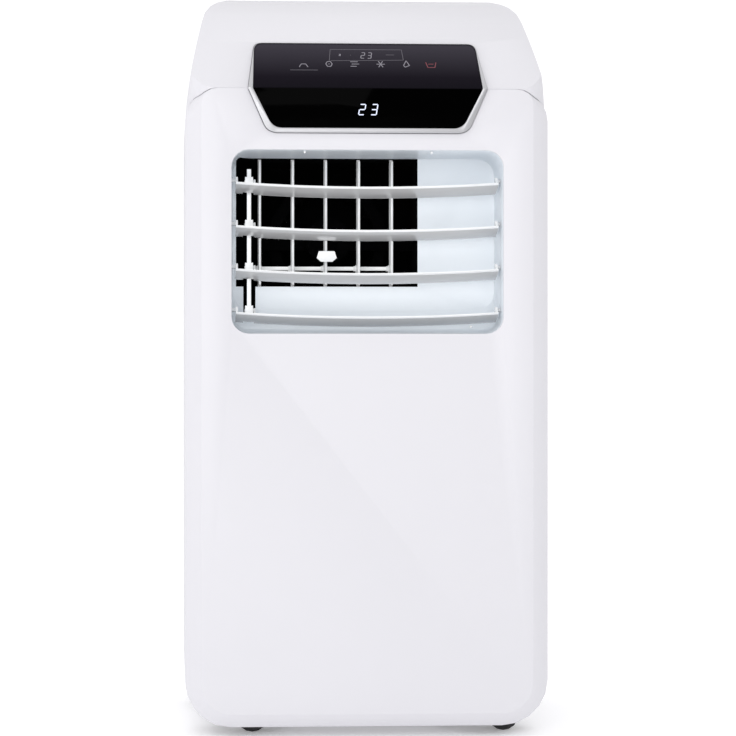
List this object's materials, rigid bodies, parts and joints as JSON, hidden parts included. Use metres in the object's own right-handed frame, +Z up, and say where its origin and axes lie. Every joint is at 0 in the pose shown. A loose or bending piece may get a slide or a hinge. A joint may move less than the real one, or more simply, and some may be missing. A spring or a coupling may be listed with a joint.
{
  "type": "portable air conditioner",
  "caption": "Free-standing portable air conditioner on castors: white cabinet, black touch panel in a silver frame, front outlet with tilting louvres and turning vanes.",
  "frame": {"origin": "on the floor, under the middle of the whole object's box", "axes": "+X to the right seen from the front, -Y out of the front, +Z up"},
  "size_m": [0.34, 0.29, 0.707],
  "materials": {
    "white_plastic": "satin moulded ABS",
    "duct_plastic": "cool white moulded ABS",
    "silver_trim": "satin plated trim",
    "black_lens": "polished black acrylic",
    "black_plastic": "moulded",
    "grey_plastic": "moulded",
    "steel": "zinc plated",
    "aluminium": "rolled",
    "copper": "drawn copper tube",
    "black_paint": "enamel",
    "circuit_board": "laminate",
    "filter_mesh": "woven nylon"
  },
  "bodies": {
    "cabinet": {"base_bolt_left": "steel", "base_bolt_right": "steel", "base_pan": "white_plastic", "cable_gland": "black_plastic", "compressor": "black_paint", "condenser_coil": "aluminium", "condenser_fan_motor": "steel", "condenser_fan_scroll": "grey_plastic", "control_bezel": "silver_trim", "control_board": "circuit_board", "control_lens": "black_lens", "discharge_pipe": "copper", "display_module": "black_plastic", "drip_tray": "grey_plastic", "electrical_box": "grey_plastic", "evaporator_coil": "aluminium", "evaporator_fan_motor": "steel", "evaporator_fan_scroll": "grey_plastic", "exhaust_collar": "white_plastic", "front_panel": "white_plastic", "lower_intake_grille": "white_plastic", "outlet_duct": "duct_plastic", "partition_plate": "aluminium", "rear_housing": "white_plastic", "rear_screw_1": "steel", "rear_screw_2": "steel", "rear_screw_3": "steel", "rear_screw_4": "steel", "run_capacitor": "aluminium", "suction_pipe": "copper", "top_cover": "white_plastic", "upper_intake_grille": "white_plastic"},
    "louvre_4": {"louvre_4": "white_plastic"},
    "louvre_3": {"louvre_3": "white_plastic"},
    "louvre_2": {"louvre_2": "white_plastic"},
    "louvre_1": {"louvre_1": "white_plastic"},
    "louvre_link": {"louvre_link_rod": "white_plastic"},
    "vane_1": {"vane_1": "white_plastic"},
    "vane_2": {"vane_2": "white_plastic"},
    "vane_3": {"vane_3": "white_plastic"},
    "vane_4": {"vane_4": "white_plastic"},
    "vane_5": {"vane_5": "white_plastic"},
    "vane_link": {"vane_link_bar": "white_plastic"},
    "castor_front_left_fork": {"castor_front_left_fork": "black_plastic"},
    "castor_front_left_wheel_a": {"castor_front_left_wheel_a": "black_plastic"},
    "castor_front_left_wheel_b": {"castor_front_left_wheel_b": "black_plastic"},
    "castor_front_right_fork": {"castor_front_right_fork": "black_plastic"},
    "castor_front_right_wheel_a": {"castor_front_right_wheel_a": "black_plastic"},
    "castor_front_right_wheel_b": {"castor_front_right_wheel_b": "black_plastic"},
    "castor_rear_left_fork": {"castor_rear_left_fork": "black_plastic"},
    "castor_rear_left_wheel_a": {"castor_rear_left_wheel_a": "black_plastic"},
    "castor_rear_left_wheel_b": {"castor_rear_left_wheel_b": "black_plastic"},
    "castor_rear_right_fork": {"castor_rear_right_fork": "black_plastic"},
    "castor_rear_right_wheel_a": {"castor_rear_right_wheel_a": "black_plastic"},
    "castor_rear_right_wheel_b": {"castor_rear_right_wheel_b": "black_plastic"},
    "evaporator_fan": {"evaporator_fan_wheel": "black_plastic"},
    "condenser_fan": {"condenser_fan_wheel": "black_plastic"},
    "air_filter": {"air_filter": "filter_mesh"},
    "drain_cap_upper": {"drain_cap_upper": "grey_plastic"},
    "drain_cap_lower": {"drain_cap_lower": "grey_plastic"}
  },
  "joints": [
    {"name": "louvre_1_tilt", "type": "hinge", "parent": "cabinet", "child": "louvre_1", "pos_m": [0, -0.121, 0.522], "axis": [1, 0, 0], "range_deg": [-10, 35]},
    {"name": "louvre_2_tilt", "type": "hinge", "parent": "cabinet", "child": "louvre_2", "pos_m": [0, -0.121, 0.4815], "axis": [1, 0, 0], "range_deg": [-10, 35]},
    {"name": "louvre_3_tilt", "type": "hinge", "parent": "cabinet", "child": "louvre_3", "pos_m": [0, -0.121, 0.441], "axis": [1, 0, 0], "range_deg": [-10, 35]},
    {"name": "louvre_4_tilt", "type": "hinge", "parent": "cabinet", "child": "louvre_4", "pos_m": [0, -0.121, 0.4005], "axis": [1, 0, 0], "range_deg": [-10, 35]},
    {"name": "louvre_link_swing", "type": "hinge", "parent": "louvre_1", "child": "louvre_link", "pos_m": [-0.1095, -0.105, 0.522], "axis": [1, 0, 0], "range_deg": [-35, 10]},
    {"name": "vane_3_turn", "type": "hinge", "parent": "cabinet", "child": "vane_3", "pos_m": [-0.0354, -0.08, 0.4845], "axis": [0, 0, 1], "range_deg": [-32, 32]},
    {"name": "vane_1_turn", "type": "hinge", "parent": "cabinet", "child": "vane_1", "pos_m": [-0.0986, -0.08, 0.4845], "axis": [0, 0, 1], "range_deg": [-32, 32]},
    {"name": "vane_2_turn", "type": "hinge", "parent": "cabinet", "child": "vane_2", "pos_m": [-0.067, -0.08, 0.4845], "axis": [0, 0, 1], "range_deg": [-32, 32]},
    {"name": "vane_4_turn", "type": "hinge", "parent": "cabinet", "child": "vane_4", "pos_m": [-0.0038, -0.08, 0.4845], "axis": [0, 0, 1], "range_deg": [-32, 32]},
    {"name": "vane_5_turn", "type": "hinge", "parent": "cabinet", "child": "vane_5", "pos_m": [0.0278, -0.08, 0.4845], "axis": [0, 0, 1], "range_deg": [-32, 32]},
    {"name": "vane_link_swing", "type": "hinge", "parent": "vane_3", "child": "vane_link", "pos_m": [-0.0354, -0.064, 0.442], "axis": [0, 0, 1], "range_deg": [-32, 32]},
    {"name": "castor_front_left_swivel", "type": "hinge", "parent": "cabinet", "child": "castor_front_left_fork", "pos_m": [-0.12, -0.085, 0.035], "axis": [0, 0, 1], "continuous": true},
    {"name": "castor_front_left_roll_a", "type": "hinge", "parent": "castor_front_left_fork", "child": "castor_front_left_wheel_a", "pos_m": [-0.106, -0.085, 0.015], "axis": [0, 1, 0], "continuous": true},
    {"name": "castor_front_left_roll_b", "type": "hinge", "parent": "castor_front_left_fork", "child": "castor_front_left_wheel_b", "pos_m": [-0.106, -0.085, 0.015], "axis": [0, 1, 0], "continuous": true},
    {"name": "castor_front_right_swivel", "type": "hinge", "parent": "cabinet", "child": "castor_front_right_fork", "pos_m": [0.12, -0.085, 0.035], "axis": [0, 0, 1], "continuous": true},
    {"name": "castor_front_right_roll_a", "type": "hinge", "parent": "castor_front_right_fork", "child": "castor_front_right_wheel_a", "pos_m": [0.134, -0.085, 0.015], "axis": [0, 1, 0], "continuous": true},
    {"name": "castor_front_right_roll_b", "type": "hinge", "parent": "castor_front_right_fork", "child": "castor_front_right_wheel_b", "pos_m": [0.134, -0.085, 0.015], "axis": [0, 1, 0], "continuous": true},
    {"name": "castor_rear_left_swivel", "type": "hinge", "parent": "cabinet", "child": "castor_rear_left_fork", "pos_m": [-0.12, 0.085, 0.035], "axis": [0, 0, 1], "continuous": true},
    {"name": "castor_rear_left_roll_a", "type": "hinge", "parent": "castor_rear_left_fork", "child": "castor_rear_left_wheel_a", "pos_m": [-0.106, 0.085, 0.015], "axis": [0, 1, 0], "continuous": true},
    {"name": "castor_rear_left_roll_b", "type": "hinge", "parent": "castor_rear_left_fork", "child": "castor_rear_left_wheel_b", "pos_m": [-0.106, 0.085, 0.015], "axis": [0, 1, 0], "continuous": true},
    {"name": "castor_rear_right_swivel", "type": "hinge", "parent": "cabinet", "child": "castor_rear_right_fork", "pos_m": [0.12, 0.085, 0.035], "axis": [0, 0, 1], "continuous": true},
    {"name": "castor_rear_right_roll_a", "type": "hinge", "parent": "castor_rear_right_fork", "child": "castor_rear_right_wheel_a", "pos_m": [0.134, 0.085, 0.015], "axis": [0, 1, 0], "continuous": true},
    {"name": "castor_rear_right_roll_b", "type": "hinge", "parent": "castor_rear_right_fork", "child": "castor_rear_right_wheel_b", "pos_m": [0.134, 0.085, 0.015], "axis": [0, 1, 0], "continuous": true},
    {"name": "evaporator_fan_spin", "type": "hinge", "parent": "cabinet", "child": "evaporator_fan", "pos_m": [-0.03, -0.01, 0.47], "axis": [0, 1, 0], "continuous": true},
    {"name": "condenser_fan_spin", "type": "hinge", "parent": "cabinet", "child": "condenser_fan", "pos_m": [0.062, 0.09, 0.235], "axis": [0, 1, 0], "continuous": true},
    {"name": "filter_slide", "type": "slide", "parent": "cabinet", "child": "air_filter", "axis": [1, 0, 0], "range_m": [0, 0.25]},
    {"name": "drain_cap_upper_pull", "type": "slide", "parent": "cabinet", "child": "drain_cap_upper", "axis": [0, 1, 0], "range_m": [0, 0.03]},
    {"name": "drain_cap_lower_pull", "type": "slide", "parent": "cabinet", "child": "drain_cap_lower", "axis": [0, 1, 0], "range_m": [0, 0.03]}
  ],
  "couplings": [
    {"joint": "louvre_2_tilt", "follows": "louvre_1_tilt", "ratio": 1},
    {"joint": "louvre_3_tilt", "follows": "louvre_1_tilt", "ratio": 1},
    {"joint": "louvre_4_tilt", "follows": "louvre_1_tilt", "ratio": 1},
    {"joint": "louvre_link_swing", "follows": "louvre_1_tilt", "ratio": -1},
    {"joint": "vane_1_turn", "follows": "vane_3_turn", "ratio": 1},
    {"joint": "vane_2_turn", "follows": "vane_3_turn", "ratio": 1},
    {"joint": "vane_4_turn", "follows": "vane_3_turn", "ratio": 1},
    {"joint": "vane_5_turn", "follows": "vane_3_turn", "ratio": 1},
    {"joint": "vane_link_swing", "follows": "vane_3_turn", "ratio": -1}
  ]
}
